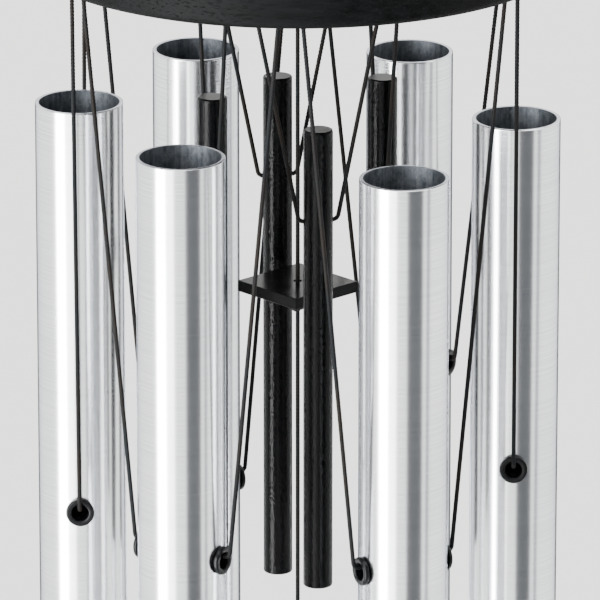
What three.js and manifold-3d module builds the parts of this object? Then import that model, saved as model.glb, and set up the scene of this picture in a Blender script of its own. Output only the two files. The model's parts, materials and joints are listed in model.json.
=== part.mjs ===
// Wind chime: a round wooden platform hangs by three cords from a ring. Six open tubes hang in a ring
// below it, four solid rods hang inside the tubes, and a square plate on the centre cord pushes the rods
// against the tubes when the sail below catches the wind.
// Millimetres, +Z up. The origin is where a hook bears on the inside of the hanging ring.

import * as THREE from 'three';
import { mergeVertices } from 'three/addons/utils/BufferGeometryUtils.js';
import Module from 'manifold-3d';

// ---- driving dimensions ----
const GAP = 0.3;                  // clearance between pieces that touch
const CORD_DIA = 1.04;
const CORD_SIDES = 8;

const RING_MID_RADIUS = 13.5;
const RING_WIRE_DIA = 2.8;
const LOOP_HALF_WIDTH = 2.6;
const LOOP_HALF_HEIGHT = 3.4;
const HANGER_KNOT_DIA = 5.6;
const SUSPENSION_HEIGHT = 145;    // from the hanger knot down to the platform
const SUSPENSION_RADIUS = 34;
const SUSPENSION_TOP_RADIUS = 1.1;
const SUSPENSION_COUNT = 3;
const END_KNOT_DIA = 4;

const PLATFORM_DIA = 117;
const PLATFORM_THICKNESS = 12.7;
const PLATFORM_EDGE_RADIUS = 1.6;
const CORD_HOLE_DIA = 2.2;
const CENTRE_HOLE_DIA = 3.8;

const TUBE_DIA = 19.05;
const TUBE_WALL = 0.89;
const TUBE_BEVEL = 0.25;
const TUBE_CIRCLE_RADIUS = 47;
const TUBE_HOLE_SPREAD = 24.3;    // platform hole to tube axis, along the tangent
const NODE_SHARE = 0.224;         // a free bar's node of vibration, as a share of its length
// drop: platform underside to tube top. length: cut length.
const TUBES = [
  { name: 'tube_1', drop: 35.7, length: 341 },
  { name: 'tube_2', drop: 32.6, length: 314 },
  { name: 'tube_3', drop: 32.5, length: 451 },
  { name: 'tube_4', drop: 32.8, length: 402 },
  { name: 'tube_5', drop: 32.8, length: 393 },
  { name: 'tube_6', drop: 37.0, length: 384 },
];

const GROMMET_FLANGE_DIA = 6.2;
const GROMMET_FLANGE_THICKNESS = 0.9;
const GROMMET_BORE_DIA = 3.6;
const GROMMET_BARREL_DIA = 4.6;
const GROMMET_INSIDE = 0.6;       // barrel past the inside of the tube wall

const ROD_DIA = 6.35;
const ROD_BEVEL = 0.35;
const ROD_CIRCLE_RADIUS = 18.8;
const ROD_HOLE_SPREAD = 15.1;
const ROD_HOLE_DIA = 1.9;
const ROD_TURN_DEG = 15;          // first rod, from the first tube
// drop: platform underside to rod top. hole: rod top to its drilling.
const RODS = [
  { name: 'rod_1', drop: 28.2, length: 110, hole: 22.5 },
  { name: 'rod_2', drop: 31.9, length: 114, hole: 22.6 },
  { name: 'rod_3', drop: 30.0, length: 107.6, hole: 23.1 },
  { name: 'rod_4', drop: 33.2, length: 102.8, hole: 20.4 },
];
const BEND_RADIUS = 1.3;          // centreline of a cord where it turns up out of a drilling
const BEND_STEPS = 4;

const PLATE_SIDE = 18.4;
const PLATE_THICKNESS = 2.5;
const PLATE_DROP = 72.8;          // platform underside to the plate's top face
const PLATE_HOLE_DIA = 1.9;
const PLATE_BEVEL = 0.25;

const SAIL_KNOT_DROP = 500;       // platform underside to the sail's knot
const SAIL_HEIGHT = 96;
const SAIL_TOP_RADIUS = 9;
const SAIL_BOTTOM_RADIUS = 22;
const SAIL_THICKNESS = 4.5;
const SAIL_HOLE_DIA = 3;
const SAIL_HOLE_INSET = 5;        // sail top edge to its hole
const SAIL_LOOP_HALF_WIDTH = 4.2;
const SAIL_LOOP_HALF_HEIGHT = 4.6;

// ---- levels along the axis, measured down from the origin ----
const ringCentreZ = -(RING_MID_RADIUS - RING_WIRE_DIA / 2);
const ringBottomZ = ringCentreZ - RING_MID_RADIUS;
const loopCentreZ = ringBottomZ + (RING_WIRE_DIA + CORD_DIA) / 2 + GAP - LOOP_HALF_HEIGHT;
const hangerKnotZ = loopCentreZ - LOOP_HALF_HEIGHT - CORD_DIA / 2 - GAP - HANGER_KNOT_DIA / 2;
const platformTopZ = hangerKnotZ - HANGER_KNOT_DIA / 2 - SUSPENSION_HEIGHT;
const undersideZ = platformTopZ - PLATFORM_THICKNESS;
const plateTopZ = undersideZ - PLATE_DROP;
const plateKnotZ = plateTopZ - PLATE_THICKNESS - GAP - END_KNOT_DIA / 2;
const sailKnotZ = undersideZ - SAIL_KNOT_DROP;
const sailLoopZ = sailKnotZ - END_KNOT_DIA / 2 - GAP - CORD_DIA / 2 - SAIL_LOOP_HALF_HEIGHT;
const loopRise = SAIL_LOOP_HALF_HEIGHT * (1 - Math.sqrt(1 - (SAIL_THICKNESS / 2 / SAIL_LOOP_HALF_WIDTH) ** 2));
const sailHoleZ = sailLoopZ - SAIL_LOOP_HALF_HEIGHT + loopRise + (CORD_DIA - SAIL_HOLE_DIA) / 2 + GAP;
const sailTopZ = sailHoleZ + SAIL_HOLE_INSET;

// ---- materials ----
const standard = (color, roughness, metalness = 0) =>
  new THREE.MeshStandardMaterial({ color, roughness, metalness });
const aluminium = standard(0xc9ccd0, 0.32, 1);
const coatedRod = standard(0x17181a, 0.45, 0.2);
const cord = standard(0x141416, 0.85);
const rubber = standard(0x121214, 0.5);
const wood = standard(0x1b1c1f, 0.55);
const glossBlack = standard(0x0c0d0e, 0.18);
const steel = standard(0xb9bbbd, 0.25, 1);

// ---- solids ----
const wasm = await Module();
wasm.setup();

function toSolid(geometry) {
  const bare = geometry.clone();
  bare.deleteAttribute('normal');
  bare.deleteAttribute('uv');
  const merged = mergeVertices(bare, 1e-4);
  return new wasm.Manifold(new wasm.Mesh({
    numProp: 3,
    vertProperties: new Float32Array(merged.attributes.position.array),
    triVerts: new Uint32Array(merged.index.array),
  }));
}

function toGeometry(solid) {
  const mesh = solid.getMesh();
  const geometry = new THREE.BufferGeometry();
  geometry.setAttribute('position', new THREE.BufferAttribute(mesh.vertProperties, 3));
  geometry.setIndex(new THREE.BufferAttribute(mesh.triVerts, 1));
  return geometry;
}

function cut(geometry, ...cutters) {
  return toGeometry(cutters.reduce((solid, c) => solid.subtract(toSolid(c)), toSolid(geometry)));
}

// A cylinder with its axis along 'x', 'y' or 'z'.
function cylinder(diameter, length, axis, segments = 12) {
  const geometry = new THREE.CylinderGeometry(diameter / 2, diameter / 2, length, segments);
  if (axis === 'x') geometry.rotateZ(Math.PI / 2);
  if (axis === 'z') geometry.rotateX(Math.PI / 2);
  return geometry;
}

// Turns an outline of [radius, height] points, closed on itself, about Z.
function turned(outline, segments) {
  const points = [...outline, outline[0]].map(([r, h]) => new THREE.Vector2(r, h));
  return new THREE.LatheGeometry(points, segments).rotateX(Math.PI / 2);
}

// A path whose stations are the listed points themselves, so that straight runs cost nothing.
class StationPath extends THREE.Curve {
  constructor(points) {
    super();
    this.points = points;
  }

  getPoint(t, target = new THREE.Vector3()) {
    const at = t * (this.points.length - 1);
    const i = Math.min(Math.floor(at), this.points.length - 2);
    return target.lerpVectors(this.points[i], this.points[i + 1], at - i);
  }

  getUtoTmapping(u) {
    return u;
  }
}

function cordAlong(points) {
  const section = new THREE.Shape();
  for (let i = 0; i < CORD_SIDES; i++) {
    const angle = (2 * Math.PI * (i + 0.5)) / CORD_SIDES;
    const [x, y] = [Math.cos(angle), Math.sin(angle)].map((v) => (v * CORD_DIA) / 2);
    if (i === 0) section.moveTo(x, y);
    else section.lineTo(x, y);
  }
  section.closePath();
  return new THREE.ExtrudeGeometry(section, {
    steps: points.length - 1,
    extrudePath: new StationPath(points),
  });
}

// The quarter bends of a threaded cord: points of an arc in the YZ plane at x, from angle a to angle b.
function arc(x, centreY, centreZ, a, b, steps = BEND_STEPS) {
  return Array.from({ length: steps + 1 }, (_, i) => {
    const angle = a + ((b - a) * i) / steps;
    return new THREE.Vector3(
      x,
      centreY + BEND_RADIUS * Math.cos(angle),
      centreZ + BEND_RADIUS * Math.sin(angle),
    );
  });
}

// One cord through a drilling that runs along Y: down from one platform hole, through, and up to the other.
function threadedCord(x, spread, straightHalf, runZ, topZ) {
  const rise = Math.atan2(topZ - runZ, spread - straightHalf - BEND_RADIUS);
  const bend = arc(x, straightHalf, runZ + BEND_RADIUS, -Math.PI / 2, rise - Math.PI / 2);
  const side = [...bend, new THREE.Vector3(x, spread, topZ)];
  const mirrored = side.map((p) => new THREE.Vector3(p.x, -p.y, p.z)).reverse();
  return cordAlong([...mirrored, ...side]);
}

const chime = new THREE.Group();
chime.name = 'wind_chime';

function place(parent, name, geometry, material, position = [0, 0, 0], turn = [0, 0, 0]) {
  const mesh = new THREE.Mesh(geometry, material.clone());
  mesh.name = name;
  mesh.position.set(...position);
  mesh.rotation.set(...turn);
  parent.add(mesh);
  return mesh;
}

function turnedGroup(angle) {
  const group = new THREE.Group();
  group.rotation.z = angle;
  chime.add(group);
  return group;
}

function knot(diameter) {
  return new THREE.SphereGeometry(diameter / 2, 8, 5).rotateX(Math.PI / 2);
}

// A cord loop in the YZ plane, taller than it is wide.
function loop(halfWidth, halfHeight) {
  const points = [];
  const steps = 14;
  for (let i = 0; i < steps; i++) {
    const angle = (2 * Math.PI * i) / steps;
    points.push([halfWidth * Math.cos(angle), halfHeight * Math.sin(angle), angle]);
  }
  const positions = [];
  const index = [];
  points.forEach(([y, z, angle], i) => {
    const normal = new THREE.Vector2(Math.cos(angle) / halfWidth, Math.sin(angle) / halfHeight).normalize();
    for (let j = 0; j < CORD_SIDES; j++) {
      const around = (2 * Math.PI * j) / CORD_SIDES;
      const out = (Math.cos(around) * CORD_DIA) / 2;
      positions.push((Math.sin(around) * CORD_DIA) / 2, y + normal.x * out, z + normal.y * out);
      const next = ((i + 1) % steps) * CORD_SIDES;
      const k = (j + 1) % CORD_SIDES;
      const [a, b, c, d] = [i * CORD_SIDES + j, i * CORD_SIDES + k, next + k, next + j];
      index.push(a, c, b, a, d, c);
    }
  });
  const geometry = new THREE.BufferGeometry();
  geometry.setAttribute('position', new THREE.Float32BufferAttribute(positions, 3));
  geometry.setIndex(index);
  return geometry;
}

// ---- hanger ----
function addHanger() {
  const ring = new THREE.TorusGeometry(RING_MID_RADIUS, RING_WIRE_DIA / 2, 8, 24);
  place(chime, 'hanging_ring', ring.rotateX(Math.PI / 2), steel, [0, 0, ringCentreZ]);
  place(chime, 'hanger_loop', loop(LOOP_HALF_WIDTH, LOOP_HALF_HEIGHT), cord, [0, 0, loopCentreZ]);
  place(chime, 'hanger_knot', knot(HANGER_KNOT_DIA), cord, [0, 0, hangerKnotZ]);
  const startZ = hangerKnotZ - HANGER_KNOT_DIA / 2 - GAP;
  for (let i = 0; i < SUSPENSION_COUNT; i++) {
    const group = turnedGroup(Math.PI / 2 + (2 * Math.PI * i) / SUSPENSION_COUNT);
    const route = [
      [SUSPENSION_TOP_RADIUS, startZ],
      [SUSPENSION_RADIUS - 0.4, platformTopZ + 1.8],
      [SUSPENSION_RADIUS, platformTopZ],
      [SUSPENSION_RADIUS, undersideZ - 0.1],
    ].map(([r, z]) => new THREE.Vector3(r, 0, z));
    place(group, `suspension_cord_${i + 1}`, cordAlong(route), cord);
    const knotZ = undersideZ - 0.1 - GAP - END_KNOT_DIA / 2;
    place(group, `suspension_knot_${i + 1}`, knot(END_KNOT_DIA), cord, [SUSPENSION_RADIUS, 0, knotZ]);
  }
}

// ---- platform ----
function holePlaces() {
  const holes = [];
  for (let i = 0; i < TUBES.length; i++) {
    for (const side of [-1, 1]) {
      holes.push([(2 * Math.PI * i) / TUBES.length, TUBE_CIRCLE_RADIUS, side * TUBE_HOLE_SPREAD]);
    }
  }
  for (let i = 0; i < RODS.length; i++) {
    for (const side of [-1, 1]) {
      holes.push([rodAngle(i), ROD_CIRCLE_RADIUS, side * ROD_HOLE_SPREAD]);
    }
  }
  for (let i = 0; i < SUSPENSION_COUNT; i++) {
    holes.push([Math.PI / 2 + (2 * Math.PI * i) / SUSPENSION_COUNT, SUSPENSION_RADIUS, 0]);
  }
  return holes.map(([angle, x, y]) => new THREE.Vector3(x, y, 0).applyAxisAngle(UP, angle));
}

const UP = new THREE.Vector3(0, 0, 1);
const rodAngle = (i) => THREE.MathUtils.degToRad(ROD_TURN_DEG) + (2 * Math.PI * i) / RODS.length;

function addPlatform() {
  const half = PLATFORM_THICKNESS / 2;
  const r = PLATFORM_DIA / 2;
  const e = PLATFORM_EDGE_RADIUS;
  const soften = 0.3;
  const outline = [[0, -half], [r - e, -half], [r - e * soften, -half + e * soften], [r, -half + e],
    [r, half - e], [r - e * soften, half - e * soften], [r - e, half], [0, half]];
  const disc = new THREE.LatheGeometry(outline.map(([x, y]) => new THREE.Vector2(x, y)), 48);
  disc.rotateX(Math.PI / 2);
  const depth = PLATFORM_THICKNESS + 2;
  const cutters = holePlaces().map((p) => cylinder(CORD_HOLE_DIA, depth, 'z', 8).translate(p.x, p.y, 0));
  cutters.push(cylinder(CENTRE_HOLE_DIA, depth, 'z'));
  place(chime, 'platform', cut(disc, ...cutters), wood, [0, 0, platformTopZ - half]);
}

// A short run of cord over the platform top, going down into the holes at both ends.
function stitch(from, to) {
  const lift = platformTopZ + CORD_DIA / 2 + GAP;
  const endZ = undersideZ + 0.1;
  const along = new THREE.Vector3().subVectors(to, from).normalize();
  const shoulder = 0.5;
  const raised = (p, z, shift) => new THREE.Vector3(p.x, p.y, z).addScaledVector(along, shift);
  return cordAlong([
    raised(from, endZ, 0),
    raised(from, lift - 2 * shoulder, 0),
    raised(from, lift - shoulder / 2, shoulder / 2),
    raised(from, lift, 2 * shoulder),
    raised(to, lift, -2 * shoulder),
    raised(to, lift - shoulder / 2, -shoulder / 2),
    raised(to, lift - 2 * shoulder, 0),
    raised(to, endZ, 0),
  ]);
}

function addStitches(prefix, count, angleOf, radius, spread) {
  for (let i = 0; i < count; i++) {
    const from = new THREE.Vector3(radius, spread, 0).applyAxisAngle(UP, angleOf(i));
    const to = new THREE.Vector3(radius, -spread, 0).applyAxisAngle(UP, angleOf(i + 1));
    place(chime, `${prefix}_stitch_${i + 1}`, stitch(from, to), cord);
  }
}

// ---- tubes ----
function tubeGeometry(length, holeDrop) {
  const outer = TUBE_DIA / 2;
  const inner = outer - TUBE_WALL;
  const b = TUBE_BEVEL;
  const outline = [[inner, 0], [inner, -length], [outer - b, -length], [outer, -length + b],
    [outer, -b], [outer - b, 0]];
  const drilling = cylinder(GROMMET_BARREL_DIA + 2 * GAP, TUBE_DIA + 2, 'y', 12);
  return cut(turned(outline, 24), drilling.translate(0, 0, -holeDrop));
}

function grommetGeometry() {
  const bore = GROMMET_BORE_DIA / 2;
  const flange = GROMMET_FLANGE_DIA / 2;
  const barrel = GROMMET_BARREL_DIA / 2;
  const seat = TUBE_DIA / 2 + GAP;
  const face = seat + GROMMET_FLANGE_THICKNESS;
  const innerEnd = TUBE_DIA / 2 - TUBE_WALL - GROMMET_INSIDE;
  const soft = 0.4;
  const outline = [[bore, innerEnd], [barrel, innerEnd], [barrel, seat], [flange, seat],
    [flange - soft, face], [bore, face]];
  const points = [...outline, outline[0]].map(([r, y]) => new THREE.Vector2(r, y));
  return new THREE.LatheGeometry(points, 12);
}

function addTubes() {
  const run = GROMMET_BORE_DIA / 2 - CORD_DIA / 2 - GAP;
  TUBES.forEach(({ name, drop, length }, i) => {
    const group = turnedGroup((2 * Math.PI * i) / TUBES.length);
    const topZ = undersideZ - drop;
    const holeDrop = NODE_SHARE * length;
    const holeZ = topZ - holeDrop;
    place(group, name, tubeGeometry(length, holeDrop), aluminium, [TUBE_CIRCLE_RADIUS, 0, topZ]);
    ['a', 'b'].forEach((end, k) => {
      place(group, `${name}_grommet_${end}`, grommetGeometry(), rubber,
        [TUBE_CIRCLE_RADIUS, 0, holeZ], [0, 0, k * Math.PI]);
    });
    const straight = TUBE_DIA / 2 + GAP + GROMMET_FLANGE_THICKNESS;
    const route = threadedCord(TUBE_CIRCLE_RADIUS, TUBE_HOLE_SPREAD, straight, holeZ + run, undersideZ - 0.4);
    place(group, `${name}_cord`, route, cord);
  });
}

// ---- rods ----
function addRods() {
  const run = (ROD_HOLE_DIA - CORD_DIA) / 2 - GAP;
  RODS.forEach(({ name, drop, length, hole }, i) => {
    const group = turnedGroup(rodAngle(i));
    const r = ROD_DIA / 2;
    const b = ROD_BEVEL;
    const outline = [[0, -length], [r - b, -length], [r, -length + b], [r, -b], [r - b, 0], [0, 0]];
    const bar = new THREE.LatheGeometry(outline.map(([x, y]) => new THREE.Vector2(x, y)), 16);
    bar.rotateX(Math.PI / 2);
    const drilling = cylinder(ROD_HOLE_DIA, ROD_DIA + 2, 'y', 10).translate(0, 0, -hole);
    const topZ = undersideZ - drop;
    place(group, name, cut(bar, drilling), coatedRod, [ROD_CIRCLE_RADIUS, 0, topZ]);
    const route = threadedCord(ROD_CIRCLE_RADIUS, ROD_HOLE_SPREAD, r, topZ - hole + run, undersideZ - 0.4);
    place(group, `${name}_cord`, route, cord);
  });
}

// ---- centre cord, plate and sail ----
function straightCord(fromZ, toZ) {
  return cordAlong([new THREE.Vector3(0, 0, fromZ), new THREE.Vector3(0, 0, toZ)]);
}

function addStriker() {
  const knotZ = platformTopZ + GAP + HANGER_KNOT_DIA / 2;
  place(chime, 'striker_knot', knot(HANGER_KNOT_DIA), cord, [0, 0, knotZ]);
  place(chime, 'striker_cord', straightCord(platformTopZ, plateTopZ - PLATE_THICKNESS), cord);
  const half = PLATE_SIDE / 2;
  const square = new THREE.Shape();
  square.moveTo(-half + PLATE_BEVEL, -half + PLATE_BEVEL);
  square.lineTo(half - PLATE_BEVEL, -half + PLATE_BEVEL);
  square.lineTo(half - PLATE_BEVEL, half - PLATE_BEVEL);
  square.lineTo(-half + PLATE_BEVEL, half - PLATE_BEVEL);
  const plate = new THREE.ExtrudeGeometry(square, {
    depth: PLATE_THICKNESS - 2 * PLATE_BEVEL,
    bevelThickness: PLATE_BEVEL,
    bevelSize: PLATE_BEVEL,
    bevelSegments: 1,
  });
  plate.translate(0, 0, PLATE_BEVEL - PLATE_THICKNESS);
  const drilled = cut(plate, cylinder(PLATE_HOLE_DIA, 3 * PLATE_THICKNESS, 'z', 10));
  place(chime, 'striker_plate', drilled, glossBlack, [0, 0, plateTopZ], [0, 0, Math.PI / 4]);
  place(chime, 'plate_knot', knot(END_KNOT_DIA), cord, [0, 0, plateKnotZ]);
}

function addSail() {
  const startZ = plateKnotZ - END_KNOT_DIA / 2 - GAP;
  const endZ = sailKnotZ + END_KNOT_DIA / 2 + GAP;
  place(chime, 'sail_cord', straightCord(startZ, endZ), cord);
  place(chime, 'sail_knot', knot(END_KNOT_DIA), cord, [0, 0, sailKnotZ]);
  place(chime, 'sail_loop', loop(SAIL_LOOP_HALF_WIDTH, SAIL_LOOP_HALF_HEIGHT), cord, [0, 0, sailLoopZ]);
  const topY = -SAIL_TOP_RADIUS;
  const bottomY = SAIL_BOTTOM_RADIUS - SAIL_HEIGHT;
  const lean = Math.asin((SAIL_BOTTOM_RADIUS - SAIL_TOP_RADIUS) / (topY - bottomY));
  const drop = new THREE.Shape();
  drop.absarc(0, topY, SAIL_TOP_RADIUS, lean, Math.PI - lean);
  drop.absarc(0, bottomY, SAIL_BOTTOM_RADIUS, Math.PI - lean, 2 * Math.PI + lean);
  const board = new THREE.ExtrudeGeometry(drop, { depth: SAIL_THICKNESS, bevelEnabled: false, curveSegments: 10 });
  board.translate(0, 0, -SAIL_THICKNESS / 2).rotateX(Math.PI / 2);
  const hole = cylinder(SAIL_HOLE_DIA, 2 * SAIL_THICKNESS, 'y').translate(0, 0, -SAIL_HOLE_INSET);
  place(chime, 'sail', cut(board, hole), wood, [0, 0, sailTopZ]);
}

addHanger();
addPlatform();
addStitches('tube', TUBES.length, (i) => (2 * Math.PI * i) / TUBES.length, TUBE_CIRCLE_RADIUS, TUBE_HOLE_SPREAD);
addStitches('rod', RODS.length, rodAngle, ROD_CIRCLE_RADIUS, ROD_HOLE_SPREAD);
addTubes();
addRods();
addStriker();
addSail();

export default chime;
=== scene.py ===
import json
import math

import bmesh
import bpy
from mathutils import Matrix, Vector


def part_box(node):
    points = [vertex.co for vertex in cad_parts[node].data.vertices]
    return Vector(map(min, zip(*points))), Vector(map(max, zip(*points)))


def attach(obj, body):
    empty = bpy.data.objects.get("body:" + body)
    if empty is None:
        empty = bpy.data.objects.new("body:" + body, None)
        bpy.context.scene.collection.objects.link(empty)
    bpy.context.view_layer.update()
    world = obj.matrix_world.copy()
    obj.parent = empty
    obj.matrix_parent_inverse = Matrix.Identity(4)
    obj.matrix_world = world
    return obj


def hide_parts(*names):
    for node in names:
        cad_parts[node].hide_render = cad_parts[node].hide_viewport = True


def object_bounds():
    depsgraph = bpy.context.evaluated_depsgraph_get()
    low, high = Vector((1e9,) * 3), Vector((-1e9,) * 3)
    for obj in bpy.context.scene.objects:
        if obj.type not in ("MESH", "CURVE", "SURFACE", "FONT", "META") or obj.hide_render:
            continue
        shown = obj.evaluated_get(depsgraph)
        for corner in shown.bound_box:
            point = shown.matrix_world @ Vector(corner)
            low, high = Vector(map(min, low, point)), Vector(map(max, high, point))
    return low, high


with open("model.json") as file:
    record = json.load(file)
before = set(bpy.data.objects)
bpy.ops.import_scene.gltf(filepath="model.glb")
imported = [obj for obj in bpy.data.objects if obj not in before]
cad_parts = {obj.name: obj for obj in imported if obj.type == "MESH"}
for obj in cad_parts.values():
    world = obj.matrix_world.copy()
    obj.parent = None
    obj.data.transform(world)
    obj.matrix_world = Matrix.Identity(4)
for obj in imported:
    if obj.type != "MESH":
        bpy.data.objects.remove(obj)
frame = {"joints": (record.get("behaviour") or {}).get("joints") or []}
CAD_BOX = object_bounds()
JOINTS = {joint["name"]: joint for joint in frame["joints"]}

# ---- sizes, in metres ----
MM = 0.001
GAP = 0.3 * MM                    # clearance between pieces
MERGE = 0.003 * MM                # points closer than this are joined
TINY = 1e-7                       # anything shorter counts as nothing

CORD_DIA = 1.04 * MM
CORD_SIDES = 14
CORD_END_TAPER = (0.55, 0.85, 0.97)
BRAID_PITCH = 0.78 * MM           # from one strand to the next, along the cord
BRAID_ROWS = 5                    # rings of points in each pitch
BRAID_STRANDS = 4                 # each way round
BRAID_DEPTH = 0.24                # share of the cord's radius
BRAID_UNDER = 0.45                # a strand's height where another passes over it
BRAID_DIP = 1 - BRAID_UNDER
BEND_RADIUS = 1.3 * MM            # of a cord that turns up from a drilling
BEND_STEPS = 12
KNOT_BITE = 1.2 * MM              # how far a cord runs on inside a knot
KNOT_WINDS = 3                    # turns round the cord
KNOT_WAVES = 2                    # times up and down in those turns
KNOT_STEPS = 120
KNOT_INNER = 0.52                 # cord diameters from a knot's line to its innermost turn
LOOP_STEPS = 60
STRAND_TOP = 0.7 * MM             # how far a strand reaches up into its hole in the platform
STITCH_END = 1.0 * MM             # how far above the underside the stitch over it ends
STITCH_SHOULDER = 0.5 * MM
PLATFORM_HOLE_DIA = 2.2 * MM
CENTRE_HOLE_DIA = 3.8 * MM
PLATFORM_EDGE = 1.8 * MM          # rounding of its rims
PLATFORM_SIDES = 160
DRILL_SIDES = 32

TUBE_COUNT = 6
TUBE_DIA = 19.05 * MM
TUBE_WALL = 0.89 * MM
TUBE_SIDES = 96
TUBE_CIRCLE_RADIUS = 47 * MM
TUBE_HOLE_SPREAD = 24.3 * MM      # from a tube's middle to each of its holes in the platform
TUBE_EDGE = 0.28 * MM
TUBE_BAND = 3.4 * MM              # rings of points this far above and below the drilling
BORE_MARGIN = 0.12 * MM           # faces nearer than this to the bore get its material
GROMMET_BORE_DIA = 3.6 * MM
GROMMET_BARREL_DIA = 4.6 * MM
GROMMET_FLANGE_DIA = 6.2 * MM
GROMMET_FLANGE_THICKNESS = 0.9 * MM
GROMMET_INSIDE = 0.6 * MM         # how far it stands out inside the tube
GROMMET_EDGE = 0.4 * MM
GROMMET_SIDES = 48

ROD_COUNT = 4
ROD_DIA = 6.35 * MM
ROD_CIRCLE_RADIUS = 18.8 * MM
ROD_HOLE_SPREAD = 15.1 * MM
ROD_HOLE_DIA = 1.9 * MM
ROD_EDGE = 0.45 * MM
ROD_SIDES = 64
ROD_BAND = 1.6 * MM
ROD_TURN = math.radians(15)

PLATE_SIDE = 18.4 * MM
PLATE_HOLE_DIA = 1.9 * MM
PLATE_EDGE = 0.28 * MM
RING_SIDES = 96
RING_WIRE_SIDES = 20

SUSPENSION_RADIUS = 34 * MM
SUSPENSION_COUNT = 3
SUSPENSION_TOP_RADIUS = 1.1 * MM  # where the cords leave the knot
SUSPENSION_GATHER = 0.7           # share of that radius at their ends inside it
SUSPENSION_BEND = (0.4 * MM, 1.8 * MM)    # inwards and upwards from the platform's hole

SAIL_TOP_RADIUS = 9 * MM
SAIL_BOTTOM_RADIUS = 22 * MM
SAIL_HOLE_DROP = 5 * MM
SAIL_HOLE_DIA = 3 * MM
SAIL_EDGE = 1.1 * MM
SAIL_STEPS = 40

FLOOR_DROP = 9                    # metres below the sail, so the chime can be seen from below
FLOOR_HALF_SIDE = 400

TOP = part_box("platform")[1].z
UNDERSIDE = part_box("platform")[0].z
TURN = 2 * math.pi
UP = Vector((0, 0, 1))
LEVEL = 0.99                      # a face is level when its normal's Z is more than this


def add_object(name, data):
    thing = bpy.data.objects.new(name, data)
    bpy.context.scene.collection.objects.link(thing)
    return thing


# ---- camera ----
def add_camera():
    """A long lens that looks down at the tubes' tops from the photograph's angle."""
    azimuth, elevation = math.radians(1.55), math.radians(17.8)
    distance, side_shift, drop = 1.724, 0.0005, 0.0772
    frame_width = 0.1299          # what the frame spans at the chime's axis
    forward = Vector((
        -math.sin(azimuth) * math.cos(elevation),
        math.cos(azimuth) * math.cos(elevation),
        -math.sin(elevation),
    ))
    right = Vector((math.cos(azimuth), math.sin(azimuth), 0))
    target = right * side_shift + Vector((0, 0, UNDERSIDE - drop))
    data = bpy.data.cameras.new("camera")
    data.sensor_width = 36
    data.lens = data.sensor_width * distance / frame_width
    data.clip_start, data.clip_end = 0.1, 2000
    camera = add_object("camera", data)
    camera.location = target - forward * distance
    camera.rotation_euler = forward.to_track_quat("-Z", "Y").to_euler()
    bpy.context.scene.camera = camera


# ---- node helpers ----
class Nodes:
    """A material's node tree, with short ways to add nodes and link them."""

    def __init__(self, name):
        self.material = bpy.data.materials.new(name)
        self.material.use_nodes = True
        self.tree = self.material.node_tree
        self.shader = self.tree.nodes["Principled BSDF"]

    def feed(self, socket, value):
        if isinstance(value, bpy.types.NodeSocket):
            self.tree.links.new(value, socket)
        else:
            socket.default_value = value

    def add(self, kind, inputs=None, **settings):
        node = self.tree.nodes.new(kind)
        for key, value in settings.items():
            setattr(node, key, value)
        for key, value in (inputs or {}).items():
            self.feed(node.inputs[key], value)
        return node

    def stretched(self, scale):
        """The piece's own coordinates, scaled along X, Y and Z."""
        place = self.add("ShaderNodeTexCoord").outputs["Object"]
        return self.add("ShaderNodeMapping", {"Vector": place, "Scale": scale}).outputs[0]

    def noise(self, scale, detail=4, rough=0.6):
        """Noise with this many features in a metre along X, Y and Z."""
        inputs = {"Vector": self.stretched(scale), "Scale": 1.0, "Detail": detail,
                  "Roughness": rough}
        return self.add("ShaderNodeTexNoise", inputs).outputs["Fac"]

    def between(self, value, low, high, low_out=0.0, high_out=1.0):
        inputs = {"Value": value, "From Min": low, "From Max": high,
                  "To Min": low_out, "To Max": high_out}
        return self.add("ShaderNodeMapRange", inputs).outputs[0]

    def math(self, operation, a, b=0.0):
        return self.add("ShaderNodeMath", {0: a, 1: b}, operation=operation).outputs[0]

    def mix(self, share, dark, light):
        inputs = {0: share, 6: dark, 7: light}
        return self.add("ShaderNodeMix", inputs, data_type="RGBA").outputs[2]

    def blend(self, first, second, shares):
        """The first value and the second, each times its own share."""
        return self.math("ADD", self.math("MULTIPLY", first, shares[0]),
                         self.math("MULTIPLY", second, shares[1]))

    def bump(self, height, distance, strength=1.0):
        inputs = {"Height": height, "Distance": distance, "Strength": strength}
        return self.add("ShaderNodeBump", inputs).outputs[0]

    def set(self, **values):
        for key, value in values.items():
            self.feed(self.shader.inputs[key.replace("_", " ")], value)
        return self.material


# ---- materials ----
def brushed_aluminium():
    """Ground round the tube, so the fine scratches run round it and blur highlights along it."""
    n = Nodes("brushed_aluminium")
    rings = n.noise((3, 3, 2400), detail=3, rough=0.6)
    cloud = n.noise((60, 60, 22), detail=3, rough=0.5)
    tone = n.blend(rings, cloud, (0.75, 0.25))
    colour = n.mix(n.between(tone, 0.36, 0.64), (0.66, 0.675, 0.70, 1), (0.90, 0.91, 0.93, 1))
    tangent = n.add("ShaderNodeTangent", direction_type="RADIAL", axis="Z").outputs[0]
    return n.set(Base_Color=colour, Metallic=1.0, Roughness=n.between(tone, 0.3, 0.7, 0.215, 0.245),
                 Anisotropic=0.6, Anisotropic_Rotation=0.25, Tangent=tangent,
                 Specular_Tint=(0.55, 0.56, 0.60, 1))


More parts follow.
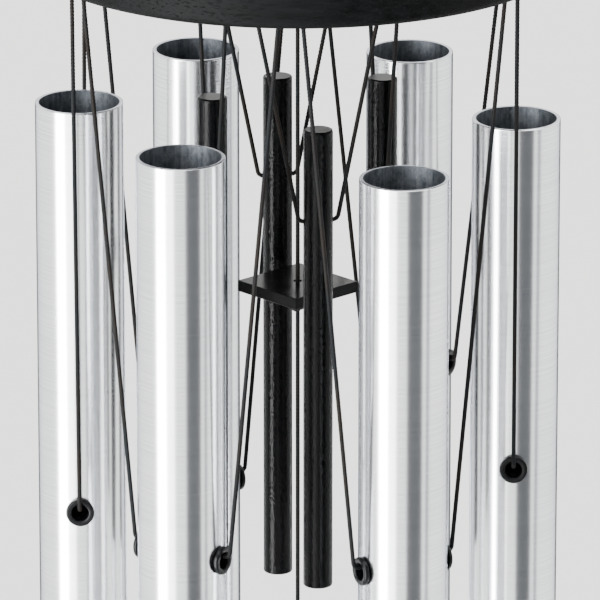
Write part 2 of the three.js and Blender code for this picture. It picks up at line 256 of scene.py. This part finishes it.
def bore_painted_shade():
    """The inside of the drawn tube: dull, its colour painted dark as the shade inside the tube, and
    a little mottled.
    """
    n = Nodes("bore_painted_shade")
    mottle = n.noise((900, 900, 500), detail=5, rough=0.7)
    lines = n.noise((1500, 1500, 12), detail=3)
    fleck = n.between(n.noise((2300, 2300, 2300), detail=2), 0.62, 0.72)
    tone = n.blend(mottle, lines, (0.6, 0.4))
    # painted shade: the metal is given these dark tones for the shade inside the tube
    dark, light = (0.055, 0.063, 0.074, 1), (0.175, 0.19, 0.21, 1)
    colour = n.mix(n.between(tone, 0.35, 0.65), dark, light)
    colour = n.mix(n.math("MULTIPLY", fleck, 0.4), colour, (0.32, 0.34, 0.37, 1))
    return n.set(Base_Color=colour, Metallic=1.0, Roughness=n.between(tone, 0.3, 0.7, 0.42, 0.6),
                 Normal=n.bump(tone, 0.00004, 0.5))


def powder_coat():
    n = Nodes("black_powder_coat")
    grit = n.noise((2500, 2500, 2300), detail=0)
    patch = n.noise((900, 900, 700), detail=2)
    dark, light = (0.0005, 0.00055, 0.0007, 1), (0.0014, 0.0016, 0.0019, 1)
    colour = n.mix(n.between(patch, 0.35, 0.7), dark, light)
    return n.set(Base_Color=colour, Roughness=n.between(patch, 0.3, 0.7, 0.17, 0.25),
                 Specular_IOR_Level=0.085, Normal=n.bump(grit, 0.00007, 1.0))


def sawn_end():
    """The cut ends of the rods: the same coat, thinner, over the marks of the saw, with their
    colour painted lighter as painted light on the rods' tops.
    """
    n = Nodes("sawn_end_painted_light")
    marks = n.noise((300, 2600, 300), detail=4)
    cloud = n.noise((500, 500, 500), detail=3)
    # painted light: a grey far lighter than the coat, partly for the thinner coat and partly for
    # light falling on the rods' tops
    colour = n.mix(n.between(cloud, 0.3, 0.7), (0.040, 0.043, 0.040, 1), (0.060, 0.064, 0.060, 1))
    return n.set(Base_Color=colour, Roughness=0.34, Specular_IOR_Level=0.2,
                 Normal=n.bump(marks, 0.00004, 0.5))


def braided_cord():
    """Black dye, slightly brown in places; the valleys between the strands are painted darker, as
    painted shade.
    """
    n = Nodes("braided_cord")
    fibre = n.noise((5000, 5000, 2500), detail=4, rough=0.7)
    tone = n.noise((160, 160, 60), detail=3)
    proud = n.add("ShaderNodeAttribute", attribute_name="proud").outputs["Fac"]
    blue, brown = (0.009, 0.0115, 0.0145, 1), (0.021, 0.0145, 0.0105, 1)
    lit = n.mix(n.between(tone, 0.4, 0.62), blue, brown)
    # painted shade: where a point stands less proud, in the valleys between the strands, the colour
    # goes to near black
    colour = n.mix(n.between(proud, 0.4, 0.95), (0.0006, 0.0007, 0.0009, 1), lit)
    return n.set(Base_Color=colour, Roughness=n.between(fibre, 0.3, 0.7, 0.55, 0.75),
                 Specular_IOR_Level=0.12, Normal=n.bump(fibre, 0.00005, 0.6))


def moulded_plastic():
    n = Nodes("black_moulded_plastic")
    grain = n.noise((3000, 3000, 3000), detail=3)
    smear = n.noise((400, 400, 400), detail=3)
    colour = n.mix(smear, (0.0012, 0.0014, 0.0018, 1), (0.003, 0.0033, 0.004, 1))
    return n.set(Base_Color=colour, Roughness=n.between(smear, 0.3, 0.7, 0.25, 0.36),
                 Specular_IOR_Level=0.16, Normal=n.bump(grain, 0.00003, 0.35))


def stained_wood(name, grain_scale):
    """Black stain over open grain, with the pores sunk below the fibres."""
    n = Nodes(name)
    warp = n.noise(tuple(s * 0.12 for s in grain_scale), detail=3)
    fibres = n.noise(grain_scale, detail=7, rough=0.72)
    pores = n.noise(tuple(s * 2.6 for s in grain_scale), detail=3, rough=0.6)
    streak = n.blend(fibres, warp, (0.6, 0.4))
    dark, light = (0.0004, 0.0005, 0.0006, 1), (0.0034, 0.0038, 0.0042, 1)
    colour = n.mix(n.between(streak, 0.38, 0.62), dark, light)
    colour = n.mix(n.between(pores, 0.64, 0.76), colour, (0.0015, 0.0016, 0.0018, 1))
    height = n.math("SUBTRACT", fibres, n.between(pores, 0.58, 0.72, 0.0, 0.8))
    return n.set(Base_Color=colour, Roughness=n.between(streak, 0.35, 0.65, 0.42, 0.58),
                 Specular_IOR_Level=0.06, Normal=n.bump(height, 0.00022, 0.7))


def polished_black():
    """The plate's faces: a satin gloss with a slight haze and fine scratches one way."""
    n = Nodes("polished_black_plate")
    haze = n.noise((260, 260, 260), detail=4)
    scratch = n.noise((5200, 130, 260), detail=3)
    colour = n.mix(haze, (0.006, 0.0064, 0.0062, 1), (0.011, 0.0116, 0.0112, 1))
    return n.set(Base_Color=colour, Roughness=n.between(haze, 0.3, 0.7, 0.15, 0.23),
                 Specular_IOR_Level=0.085, Normal=n.bump(scratch, 0.000004, 0.25))


def routed_edge():
    """The plate's cut edges: the same black, left duller by the cutter."""
    n = Nodes("black_routed_edge")
    marks = n.noise((900, 900, 5200), detail=3)
    colour = n.mix(marks, (0.0009, 0.001, 0.001, 1), (0.0028, 0.003, 0.0028, 1))
    return n.set(Base_Color=colour, Roughness=n.between(marks, 0.3, 0.7, 0.28, 0.40),
                 Specular_IOR_Level=0.07, Normal=n.bump(marks, 0.00003, 0.5))


def nickel_wire():
    n = Nodes("nickel_wire")
    smear = n.noise((500, 500, 500), detail=4)
    colour = n.mix(smear, (0.62, 0.62, 0.62, 1), (0.78, 0.78, 0.77, 1))
    return n.set(Base_Color=colour, Metallic=1.0, Roughness=n.between(smear, 0.3, 0.7, 0.14, 0.26),
                 Normal=n.bump(smear, 0.00002, 0.3))


# ---- mesh helpers ----
def finish_piece(name, mesh, body, replaced, material=None, smooth_angle=35,
                 flat_faces=False):
    """Puts a piece in the scene. One that has been painted already needs no material."""
    piece = add_object(name, mesh)
    if material:
        mesh.materials.append(material)
    mesh.shade_smooth()
    mesh.set_sharp_from_angle(angle=math.radians(smooth_angle))
    if flat_faces:
        piece.modifiers.new("weighted_normals", "WEIGHTED_NORMAL").keep_sharp = True
    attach(piece, body)
    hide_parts(replaced)


def paint(mesh, main, other, is_other):
    """Gives a mesh two materials, with the second on the faces that is_other picks."""
    mesh.materials.append(main)
    mesh.materials.append(other)
    for face in mesh.polygons:
        face.material_index = 1 if is_other(face) else 0


def is_level(face):
    return abs(face.normal.z) > LEVEL


def mesh_from(name, vertices, faces):
    mesh = bpy.data.meshes.new(name)
    mesh.from_pydata([tuple(v) for v in vertices], [], faces)
    mesh.validate()
    mesh.update()
    return mesh


def clean(mesh):
    """Joins points that coincide, drops the slivers and turns the faces outwards."""
    work = bmesh.new()
    work.from_mesh(mesh)
    bmesh.ops.remove_doubles(work, verts=work.verts, dist=MERGE)
    bmesh.ops.dissolve_degenerate(work, edges=work.edges, dist=MERGE)
    bmesh.ops.recalc_face_normals(work, faces=work.faces)
    work.to_mesh(mesh)
    work.free()


def solid_from(name, vertices, faces):
    mesh = mesh_from(name, vertices, faces)
    clean(mesh)
    return mesh


def revolved(outline, sides, origin, axis, start):
    """Turns a closed outline of (radius, height) points about an axis.

    A first and a last point on the axis close the shape with two flat caps.
    """
    axis = Vector(axis).normalized()
    start = Vector(start).normalized()
    across = axis.cross(start)
    vertices, rings = [], []
    for radius, height in outline:
        middle = Vector(origin) + axis * height
        if radius < TINY:
            rings.append([])
            continue
        rings.append(list(range(len(vertices), len(vertices) + sides)))
        for i in range(sides):
            angle = TURN * i / sides
            vertices.append(middle + (start * math.cos(angle) + across * math.sin(angle)) * radius)
    faces = []
    capped = not rings[0] and not rings[-1]
    count = len(rings) - 1 if capped else len(rings)
    for k in range(count):
        low, high = rings[k], rings[(k + 1) % len(rings)]
        if not low or not high:
            faces.append(low or high)
            continue
        for i in range(sides):
            j = (i + 1) % sides
            faces.append((low[i], low[j], high[j], high[i]))
    return vertices, faces


def rounded(corners, radius, steps=4):
    """A closed outline with each corner that is given a share of radius turned into an arc."""
    points = []
    for i, (x, y, share) in enumerate(corners):
        corner = Vector((x, y))
        if not share:
            points.append((x, y))
            continue
        before = (Vector(corners[i - 1][:2]) - corner).normalized()
        after = (Vector(corners[(i + 1) % len(corners)][:2]) - corner).normalized()
        r = radius * share
        for k in range(steps + 1):
            t = k / steps
            a, b = corner + before * r, corner + after * r
            p = a * (1 - t) ** 2 + corner * 2 * t * (1 - t) + b * t ** 2
            points.append((p.x, p.y))
    return points


def drilled(mesh, cutters):
    """Cuts (start, end, diameter) holes through a mesh."""
    work = add_object("work", mesh)
    vertices, faces = [], []
    for start, end, diameter in cutters:
        length = (end - start).length
        axis = (end - start).normalized()
        outline = [(0, 0), (diameter / 2, 0), (diameter / 2, length), (0, length)]
        pin_vertices, pin_faces = revolved(outline, DRILL_SIDES, start, axis, axis.orthogonal())
        faces += [[i + len(vertices) for i in face] for face in pin_faces]
        vertices += pin_vertices
    cutter_mesh = solid_from("cutter", vertices, faces)
    cutter = add_object("cutter", cutter_mesh)
    modifier = work.modifiers.new("drill", "BOOLEAN")
    modifier.operation = "DIFFERENCE"
    modifier.solver = "EXACT"
    modifier.object = cutter
    graph = bpy.context.evaluated_depsgraph_get()
    result = bpy.data.meshes.new_from_object(work.evaluated_get(graph), depsgraph=graph)
    bpy.data.objects.remove(work)
    bpy.data.objects.remove(cutter)
    bpy.data.meshes.remove(cutter_mesh)
    result.materials.clear()
    clean(result)
    return result


def polar(radius, angle, side=0.0):
    """The place at a radius and a sideways offset, turned about the axis."""
    out = Vector((math.cos(angle), math.sin(angle), 0))
    return out * radius + Vector((-out.y, out.x, 0)) * side


def out_and_along(place):
    """Level directions at a place: away from the chime's axis, and round it."""
    out = Vector((place.x, place.y, 0)).normalized()
    return out, Vector((-out.y, out.x, 0))


def resampled(points, step):
    """Points every step along a polyline, its ends included."""
    lengths = [0.0]
    for a, b in zip(points, points[1:]):
        lengths.append(lengths[-1] + (b - a).length)
    count = max(2, round(lengths[-1] / step))
    result, k = [], 0
    for i in range(count + 1):
        at = lengths[-1] * i / count
        while k < len(points) - 2 and lengths[k + 1] < at:
            k += 1
        share = (at - lengths[k]) / (lengths[k + 1] - lengths[k])
        result.append(points[k].lerp(points[k + 1], min(share, 1)))
    return result, lengths[-1]


def braid(points, closed=False):
    """A round cord along a route, its strands winding both ways, over and under each other."""
    line, length = resampled(points, BRAID_PITCH / BRAID_ROWS)
    count = len(line) - (1 if closed else 0)
    radius = CORD_DIA / 2
    tangent = (line[1] - line[0]).normalized()
    side = tangent.orthogonal().normalized()
    vertices, faces, proud = [], [], []
    for i in range(count):
        before = line[i - 1] if i or closed else line[0]
        after = line[(i + 1) % count] if closed else line[min(i + 1, len(line) - 1)]
        tangent = (after - before).normalized()
        side = (side - tangent * side.dot(tangent)).normalized()
        across = tangent.cross(side)
        row = TURN * (length * i / (len(line) - 1)) / BRAID_PITCH
        end = min(i, count - 1 - i)
        taper = 1 if closed or end >= len(CORD_END_TAPER) else CORD_END_TAPER[end]
        for j in range(CORD_SIDES):
            angle = TURN * j / CORD_SIDES
            over = 0.5 + 0.5 * math.cos(row)
            left = (0.5 + 0.5 * math.cos(BRAID_STRANDS * angle + row)) \
                * (BRAID_UNDER + BRAID_DIP * over)
            right = (0.5 + 0.5 * math.cos(BRAID_STRANDS * angle - row)) \
                * (1 - BRAID_DIP * over)
            proud.append(max(left, right))
            r = radius * taper * (1 - BRAID_DEPTH * (1 - proud[-1]))
            vertices.append(line[i] + (side * math.cos(angle) + across * math.sin(angle)) * r)
    rows = count if closed else count - 1
    for i in range(rows):
        for j in range(CORD_SIDES):
            k = (j + 1) % CORD_SIDES
            low, high = i * CORD_SIDES, (i + 1) % count * CORD_SIDES
            faces.append((low + j, low + k, high + k, high + j))
    if not closed:
        faces.append(list(reversed(range(CORD_SIDES))))
        faces.append([(count - 1) * CORD_SIDES + j for j in range(CORD_SIDES)])
    return vertices, faces, proud


def add_cord(node, body, points, closed=False):
    vertices, faces, proud = braid(points, closed)
    mesh = solid_from(node + "_braid", vertices, faces)
    # proud, how far each point stands out, also sets the painted shade in the cord's valleys
    mesh.attributes.new("proud", "FLOAT", "POINT").data.foreach_set("value", proud)
    finish_piece(node + "_braid", mesh, body, node, CORD, smooth_angle=60)


def knot_route(centre, half_width, half_height):
    """An overhand knot pulled tight: the cord winds about its own line and up and down it."""
    inner = CORD_DIA * KNOT_INNER
    middle, swell = (half_width + inner) / 2, (half_width - inner) / 2
    points = []
    for i in range(KNOT_STEPS + 1):
        t = TURN * i / KNOT_STEPS
        radius = middle + swell * math.cos(KNOT_WAVES * t)
        height = half_height * math.sin(KNOT_WAVES * t)
        points.append(centre + polar(radius, KNOT_WINDS * t) + UP * height)
    return points


def add_knot(node, body):
    low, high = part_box(node)
    half_width = (high.x - low.x - CORD_DIA) / 2
    half_height = (high.z - low.z - CORD_DIA) / 2
    add_cord(node, body, knot_route((low + high) / 2, half_width, half_height), closed=True)


# ---- pieces ----
def drilling_z(node, bore_dia):
    """The height of a drilling: its piece hangs with the cord close under the bore's top."""
    run = bore_dia / 2 - CORD_DIA / 2 - GAP
    return JOINTS[f"{node}_rock"]["pos_m"][2] - run


def threaded_route(kind, index, spread, straight):
    """Down from one platform hole, through the drilling and up to the other hole."""
    top = Vector(JOINTS[f"{kind}_{index}_swing"]["pos_m"])
    run_z = JOINTS[f"{kind}_{index}_rock"]["pos_m"][2]
    _, along = out_and_along(top)
    top_z = UNDERSIDE + STRAND_TOP
    centre = Vector((top.x, top.y, 0))
    rise = math.atan2(top_z - run_z, spread - straight - BEND_RADIUS)
    half = []
    for i in range(BEND_STEPS + 1):
        angle = -math.pi / 2 + rise * i / BEND_STEPS
        offset = straight + BEND_RADIUS * math.cos(angle)
        z = run_z + BEND_RADIUS + BEND_RADIUS * math.sin(angle)
        half.append((offset, z))
    half.append((spread, top_z))
    left = [centre - along * s + UP * z for s, z in reversed(half)]
    right = [centre + along * s + UP * z for s, z in half]
    return left + right


def add_tube(index):
    node = f"tube_{index}"
    low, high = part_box(node)
    centre = Vector(JOINTS[f"{node}_swing"]["pos_m"])
    origin = Vector((centre.x, centre.y, high.z))
    length = high.z - low.z
    hole_z = drilling_z(node, GROMMET_BORE_DIA)
    drop = high.z - hole_z
    outer, inner = TUBE_DIA / 2, TUBE_DIA / 2 - TUBE_WALL
    corners = [(inner, 0, 0.6), (inner, -length, 0.6), (outer, -length, 1), (outer, 0, 1)]
    wall = rounded(corners, TUBE_EDGE)
    outline = []
    for k, (radius, height) in enumerate(wall):
        outline.append((radius, height))
        next_height = wall[(k + 1) % len(wall)][1]
        if abs(next_height - height) > length / 2:
            levels = [-drop + TUBE_BAND, -drop - TUBE_BAND]
            if next_height > height:
                levels.reverse()
            outline += [(radius, z) for z in levels]
    out, along = out_and_along(centre)
    vertices, faces = revolved(outline, TUBE_SIDES, origin, UP, out)
    mesh = solid_from(node + "_shell", vertices, faces)
    middle = Vector((centre.x, centre.y, hole_z))
    reach = along * TUBE_DIA
    mesh = drilled(mesh, [(middle - reach, middle + reach, GROMMET_BARREL_DIA + 2 * GAP)])

    def is_bore(face):
        offset = Vector((face.center.x - centre.x, face.center.y - centre.y))
        return offset.length < inner + BORE_MARGIN

    # the bore's faces get the metal with painted shade
    paint(mesh, ALUMINIUM, BORE, is_bore)
    finish_piece(node + "_shell", mesh, node, node)
    for end, sign in (("a", 1), ("b", -1)):
        add_grommet(f"{node}_grommet_{end}", node, middle, along * sign)
    straight = TUBE_DIA / 2 + GAP + GROMMET_FLANGE_THICKNESS
    route = threaded_route("tube", index, TUBE_HOLE_SPREAD, straight)
    add_cord(node + "_cord", node + "_cord", route)


def add_grommet(node, body, centre, axis):
    bore, barrel, flange = GROMMET_BORE_DIA / 2, GROMMET_BARREL_DIA / 2, GROMMET_FLANGE_DIA / 2
    seat = TUBE_DIA / 2 + GAP
    face = seat + GROMMET_FLANGE_THICKNESS
    end = TUBE_DIA / 2 - TUBE_WALL - GROMMET_INSIDE
    corners = [(bore, end, 0.5), (barrel, end, 0.5), (barrel, seat, 0), (flange, seat, 0.4),
               (flange, face, 1.3), (bore, face, 1.3)]
    outline = rounded(corners, GROMMET_EDGE, steps=6)
    vertices, faces = revolved(outline, GROMMET_SIDES, centre, axis, UP)
    mesh = solid_from(node + "_moulding", vertices, faces)
    finish_piece(node + "_moulding", mesh, body, node, PLASTIC, smooth_angle=45)


def add_rod(index):
    node = f"rod_{index}"
    low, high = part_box(node)
    centre = Vector(JOINTS[f"{node}_swing"]["pos_m"])
    radius, length = ROD_DIA / 2, high.z - low.z
    hole_z = drilling_z(node, ROD_HOLE_DIA)
    drop = high.z - hole_z
    corners = [(0, -length, 0), (radius, -length, 1), (radius, 0, 1), (0, 0, 0)]
    outline = rounded(corners, ROD_EDGE)
    k = next(i for i, (_, height) in enumerate(outline) if height > -length / 2)
    outline[k:k] = [(radius, -drop - ROD_BAND), (radius, -drop + ROD_BAND)]
    out, along = out_and_along(centre)
    origin = Vector((centre.x, centre.y, high.z))
    vertices, faces = revolved(outline, ROD_SIDES, origin, UP, out)
    mesh = solid_from(node + "_bar", vertices, faces)
    middle = Vector((centre.x, centre.y, hole_z))
    mesh = drilled(mesh, [(middle - along * ROD_DIA, middle + along * ROD_DIA, ROD_HOLE_DIA)])
    # the level ends get the lighter colour, which is partly painted light
    paint(mesh, POWDER, SAWN, is_level)
    finish_piece(node + "_bar", mesh, node, node, flat_faces=True)
    route = threaded_route("rod", index, ROD_HOLE_SPREAD, radius)
    add_cord(node + "_cord", node + "_cord", route)


def tube_angle(i):
    return TURN * i / TUBE_COUNT


def rod_angle(i):
    return ROD_TURN + TURN * i / ROD_COUNT


def suspension_angle(i):
    return math.pi / 2 + TURN * i / SUSPENSION_COUNT


def add_platform():
    low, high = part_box("platform")
    radius, thickness = (high.x - low.x) / 2, high.z - low.z
    corners = [(0, -thickness, 0), (radius, -thickness, 1), (radius, 0, 1), (0, 0, 0)]
    outline = rounded(corners, PLATFORM_EDGE, steps=6)
    vertices, faces = revolved(outline, PLATFORM_SIDES, UP * high.z, UP, (1, 0, 0))
    mesh = solid_from("platform_disc", vertices, faces)
    places = [polar(TUBE_CIRCLE_RADIUS, tube_angle(i), side * TUBE_HOLE_SPREAD)
              for i in range(TUBE_COUNT) for side in (-1, 1)]
    places += [polar(ROD_CIRCLE_RADIUS, rod_angle(i), side * ROD_HOLE_SPREAD)
               for i in range(ROD_COUNT) for side in (-1, 1)]
    places += [polar(SUSPENSION_RADIUS, suspension_angle(i)) for i in range(SUSPENSION_COUNT)]
    bottom, top = UP * (low.z - MM), UP * (high.z + MM)
    cutters = [(place + bottom, place + top, PLATFORM_HOLE_DIA) for place in places]
    cutters.append((bottom, top, CENTRE_HOLE_DIA))
    mesh = drilled(mesh, cutters)
    finish_piece("platform_disc", mesh, "canopy", "platform", WOOD,
                 flat_faces=True)


def add_stitches(kind, count, angle_of, radius, spread):
    """The short runs of cord over the platform, from each hole to its neighbour's."""
    lift, shoulder = TOP + CORD_DIA / 2 + GAP, STITCH_SHOULDER
    for i in range(count):
        a = polar(radius, angle_of(i), spread)
        b = polar(radius, angle_of(i + 1), -spread)
        along = (b - a).normalized()
        half = [(0, UNDERSIDE + STITCH_END), (0, lift - 2 * shoulder),
                (shoulder / 2, lift - shoulder / 2), (2 * shoulder, lift)]
        points = [a + along * s + UP * z for s, z in half]
        points += [b - along * s + UP * z for s, z in reversed(half)]
        add_cord(f"{kind}_stitch_{i + 1}", "canopy", points)


def add_suspension():
    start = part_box("hanger_knot")[0].z - GAP
    inwards, upwards = SUSPENSION_BEND
    for i in range(SUSPENSION_COUNT):
        knot_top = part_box(f"suspension_knot_{i + 1}")[1].z
        route = [(SUSPENSION_TOP_RADIUS * SUSPENSION_GATHER, start + KNOT_BITE),
                 (SUSPENSION_TOP_RADIUS, start),
                 (SUSPENSION_RADIUS - inwards, TOP + upwards),
                 (SUSPENSION_RADIUS, TOP), (SUSPENSION_RADIUS, knot_top - KNOT_BITE)]
        points = [polar(radius, suspension_angle(i)) + UP * z for radius, z in route]
        add_cord(f"suspension_cord_{i + 1}", "canopy", points)
        add_knot(f"suspension_knot_{i + 1}", "canopy")


def loop_route(node, knot_side):
    """An upright loop, drawn out into the knot above it (1) or below it (-1)."""
    low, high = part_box(node)
    centre = (low + high) / 2
    half_width = (high.y - low.y - CORD_DIA) / 2
    half_height = (high.z - low.z - CORD_DIA) / 2
    points = []
    for i in range(LOOP_STEPS + 1):
        y, z = math.cos(TURN * i / LOOP_STEPS), math.sin(TURN * i / LOOP_STEPS)
        reach = half_height + (CORD_DIA / 2 + GAP + KNOT_BITE if z * knot_side > 0 else 0)
        points.append(centre + Vector((0, half_width * y, reach * z)))
    return points


def add_hanger():
    low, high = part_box("hanging_ring")
    wire = (high.y - low.y) / 2
    middle = (high.x - low.x) / 2 - wire
    angles = [TURN * i / RING_WIRE_SIDES for i in range(RING_WIRE_SIDES)]
    outline = [(middle + wire * math.cos(angle), wire * math.sin(angle)) for angle in angles]
    vertices, faces = revolved(outline, RING_SIDES, (low + high) / 2, (0, 1, 0), (1, 0, 0))
    mesh = solid_from("hanging_ring_wire", vertices, faces)
    finish_piece("hanging_ring_wire", mesh, "ring", "hanging_ring", NICKEL)
    add_cord("hanger_loop", "hanger", loop_route("hanger_loop", -1), closed=True)
    add_knot("hanger_knot", "hanger")


def add_plate():
    low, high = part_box("striker_plate")
    work = bmesh.new()
    bmesh.ops.create_cube(work, size=1)
    bmesh.ops.scale(work, vec=(PLATE_SIDE, PLATE_SIDE, high.z - low.z), verts=work.verts)
    bmesh.ops.bevel(work, geom=work.edges[:], offset=PLATE_EDGE, segments=3, profile=0.7,
                    affect="EDGES")
    mesh = bpy.data.meshes.new("striker_plate_tile")
    work.to_mesh(mesh)
    work.free()
    place = Matrix.Translation((0, 0, (low.z + high.z) / 2))
    mesh.transform(place @ Matrix.Rotation(math.pi / 4, 4, "Z"))
    mesh = drilled(mesh, [(UP * (low.z - MM), UP * (high.z + MM), PLATE_HOLE_DIA)])
    paint(mesh, POLISHED, EDGE, lambda face: not is_level(face))
    finish_piece("striker_plate_tile", mesh, "striker", "striker_plate",
                 flat_faces=True)


def add_centre_cords():
    bite = KNOT_BITE + GAP
    for node, body in (("striker_cord", "striker"), ("sail_cord", "sail_cord")):
        low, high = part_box(node)
        add_cord(node, body, [UP * (high.z + bite), UP * (low.z - bite)])
    for node, body in (("striker_knot", "striker_pivot"), ("plate_knot", "plate_pivot"),
                       ("sail_knot", "sail_cord")):
        add_knot(node, body)
    add_cord("sail_loop", "sail_loop", loop_route("sail_loop", 1), closed=True)


def add_sail():
    low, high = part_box("sail")
    thickness = high.y - low.y
    top_z, bottom_z = high.z - SAIL_TOP_RADIUS, low.z + SAIL_BOTTOM_RADIUS
    lean = math.asin((SAIL_BOTTOM_RADIUS - SAIL_TOP_RADIUS) / (top_z - bottom_z))
    outline = []
    for radius, middle_z, start, sweep, steps in (
            (SAIL_TOP_RADIUS, top_z, lean, math.pi - 2 * lean, SAIL_STEPS),
            (SAIL_BOTTOM_RADIUS, bottom_z, math.pi - lean, math.pi + 2 * lean, 2 * SAIL_STEPS)):
        for i in range(steps + 1):
            angle = start + sweep * i / steps
            outline.append((radius * math.cos(angle), middle_z + radius * math.sin(angle)))
    work = bmesh.new()
    face = work.faces.new([work.verts.new((x, -thickness / 2, z)) for x, z in outline])
    made = bmesh.ops.extrude_face_region(work, geom=[face])["geom"]
    far_side = [v for v in made if isinstance(v, bmesh.types.BMVert)]
    bmesh.ops.translate(work, vec=(0, thickness, 0), verts=far_side)
    bmesh.ops.recalc_face_normals(work, faces=work.faces)
    rims = [e for e in work.edges if abs(e.verts[0].co.y - e.verts[1].co.y) < TINY]
    bmesh.ops.bevel(work, geom=rims, offset=SAIL_EDGE, segments=4, profile=0.5, affect="EDGES")
    mesh = bpy.data.meshes.new("sail_board")
    work.to_mesh(mesh)
    work.free()
    centre = UP * (high.z - SAIL_HOLE_DROP)
    side = Vector((0, thickness, 0))
    mesh = drilled(mesh, [(centre - side, centre + side, SAIL_HOLE_DIA)])
    finish_piece("sail_board", mesh, "sail", "sail", SAIL_WOOD, flat_faces=True)


# ---- floor and light ----
def add_floor():
    z, half = CAD_BOX[0][2] - FLOOR_DROP, FLOOR_HALF_SIDE
    corners = [(-half, -half, z), (half, -half, z), (half, half, z), (-half, half, z)]
    mesh = mesh_from("floor", corners, [(0, 1, 2, 3)])
    floor = add_object("floor", mesh)
    n = Nodes("pale_floor")
    mottle = n.noise((3, 3, 3), detail=3)
    colour = n.mix(mottle, (0.845, 0.845, 0.828, 1), (0.855, 0.855, 0.838, 1))
    mesh.materials.append(n.set(Base_Color=colour, Roughness=0.95, Specular_IOR_Level=0.0))


def add_world():
    world = bpy.data.worlds.new("studio")
    world.use_nodes = True
    background = world.node_tree.nodes["Background"]
    background.inputs["Color"].default_value = (0.95, 0.97, 1.0, 1)
    background.inputs["Strength"].default_value = 0.5
    bpy.context.scene.world = world


def around(turn, distance):
    """A place round the chime: turn in degrees to the right of the camera's side."""
    return polar(distance, math.radians(turn - 90))


def add_overhead():
    data = bpy.data.lights.new("overhead", "SUN")
    data.energy = 6.9
    data.angle = math.radians(70)
    add_object("overhead", data)


def add_area(name, turn, distance, width, energy):
    """A tall soft light beside the chime, turned to its axis."""
    place, height, middle_z = around(turn, distance), 1.9, -0.55
    place.z = middle_z
    data = bpy.data.lights.new(name, "AREA")
    data.shape = "RECTANGLE"
    data.size, data.size_y = width, height
    data.energy = energy
    light = add_object(name, data)
    light.location = place
    light.rotation_euler = (Vector((0, 0, middle_z)) - place).to_track_quat("-Z", "Y").to_euler()


def only_in_reflections(thing):
    thing.visible_camera = thing.visible_diffuse = thing.visible_shadow = False


def add_card(name, turn, distance, half_width, colour, top_z=-0.1):
    """A grey upright card that only shows in reflections."""
    bottom_z = -1.35
    middle = around(turn, distance)
    side = Vector((-middle.y, middle.x, 0)).normalized() * half_width
    corners = [(c.x, c.y, z) for z in (bottom_z, top_z) for c in (middle - side, middle + side)]
    mesh = mesh_from(name, corners, [(0, 1, 3, 2)])
    card = add_object(name, mesh)
    mesh.materials.append(Nodes(name).set(Base_Color=colour, Roughness=0.9))
    only_in_reflections(card)


def add_bright_band():
    """Pale walls all round, seen only in reflections: level faces mirror them."""
    radius, low_z, high_z, sides = 2.5, 0.0, 1.9, 64
    ring = [polar(radius, TURN * i / sides) for i in range(sides)]
    vertices = [(p.x, p.y, z) for z in (low_z, high_z) for p in ring]
    faces = [(i, (i + 1) % sides, sides + (i + 1) % sides, sides + i) for i in range(sides)]
    mesh = mesh_from("bright_band", vertices, faces)
    band = add_object("bright_band", mesh)
    mesh.materials.append(Nodes("bright_band").set(
        Base_Color=(0, 0, 0, 1), Specular_IOR_Level=0.0, Emission_Color=(1.0, 1.0, 0.985, 1),
        Emission_Strength=2.2))
    only_in_reflections(band)


def add_studio():
    add_floor()
    add_world()
    add_overhead()
    add_area("key", -49, 1.35, 0.60, 84)
    add_area("fill", -25, 1.6, 0.50, 15)
    add_card("flag", 30, 0.7, 0.24, (0.035, 0.037, 0.041, 1), top_z=0.6)
    add_card("side_card", 63, 0.8, 0.06, (0.16, 0.165, 0.175, 1))
    add_card("back_card", 181, 0.9, 0.62, (0.045, 0.047, 0.051, 1))
    add_bright_band()


ALUMINIUM, BORE, POWDER, CORD = brushed_aluminium(), bore_painted_shade(), powder_coat(), braided_cord()
PLASTIC, POLISHED, NICKEL, SAWN = moulded_plastic(), polished_black(), nickel_wire(), sawn_end()
EDGE = routed_edge()
WOOD = stained_wood("black_stained_wood", (70, 900, 900))
SAIL_WOOD = stained_wood("black_stained_sail", (900, 900, 70))

add_camera()
for tube_index in range(1, TUBE_COUNT + 1):
    add_tube(tube_index)
for rod_index in range(1, ROD_COUNT + 1):
    add_rod(rod_index)
add_platform()
add_stitches("tube", TUBE_COUNT, tube_angle, TUBE_CIRCLE_RADIUS, TUBE_HOLE_SPREAD)
add_stitches("rod", ROD_COUNT, rod_angle, ROD_CIRCLE_RADIUS, ROD_HOLE_SPREAD)
add_suspension()
add_hanger()
add_plate()
add_centre_cords()
add_sail()
add_studio()
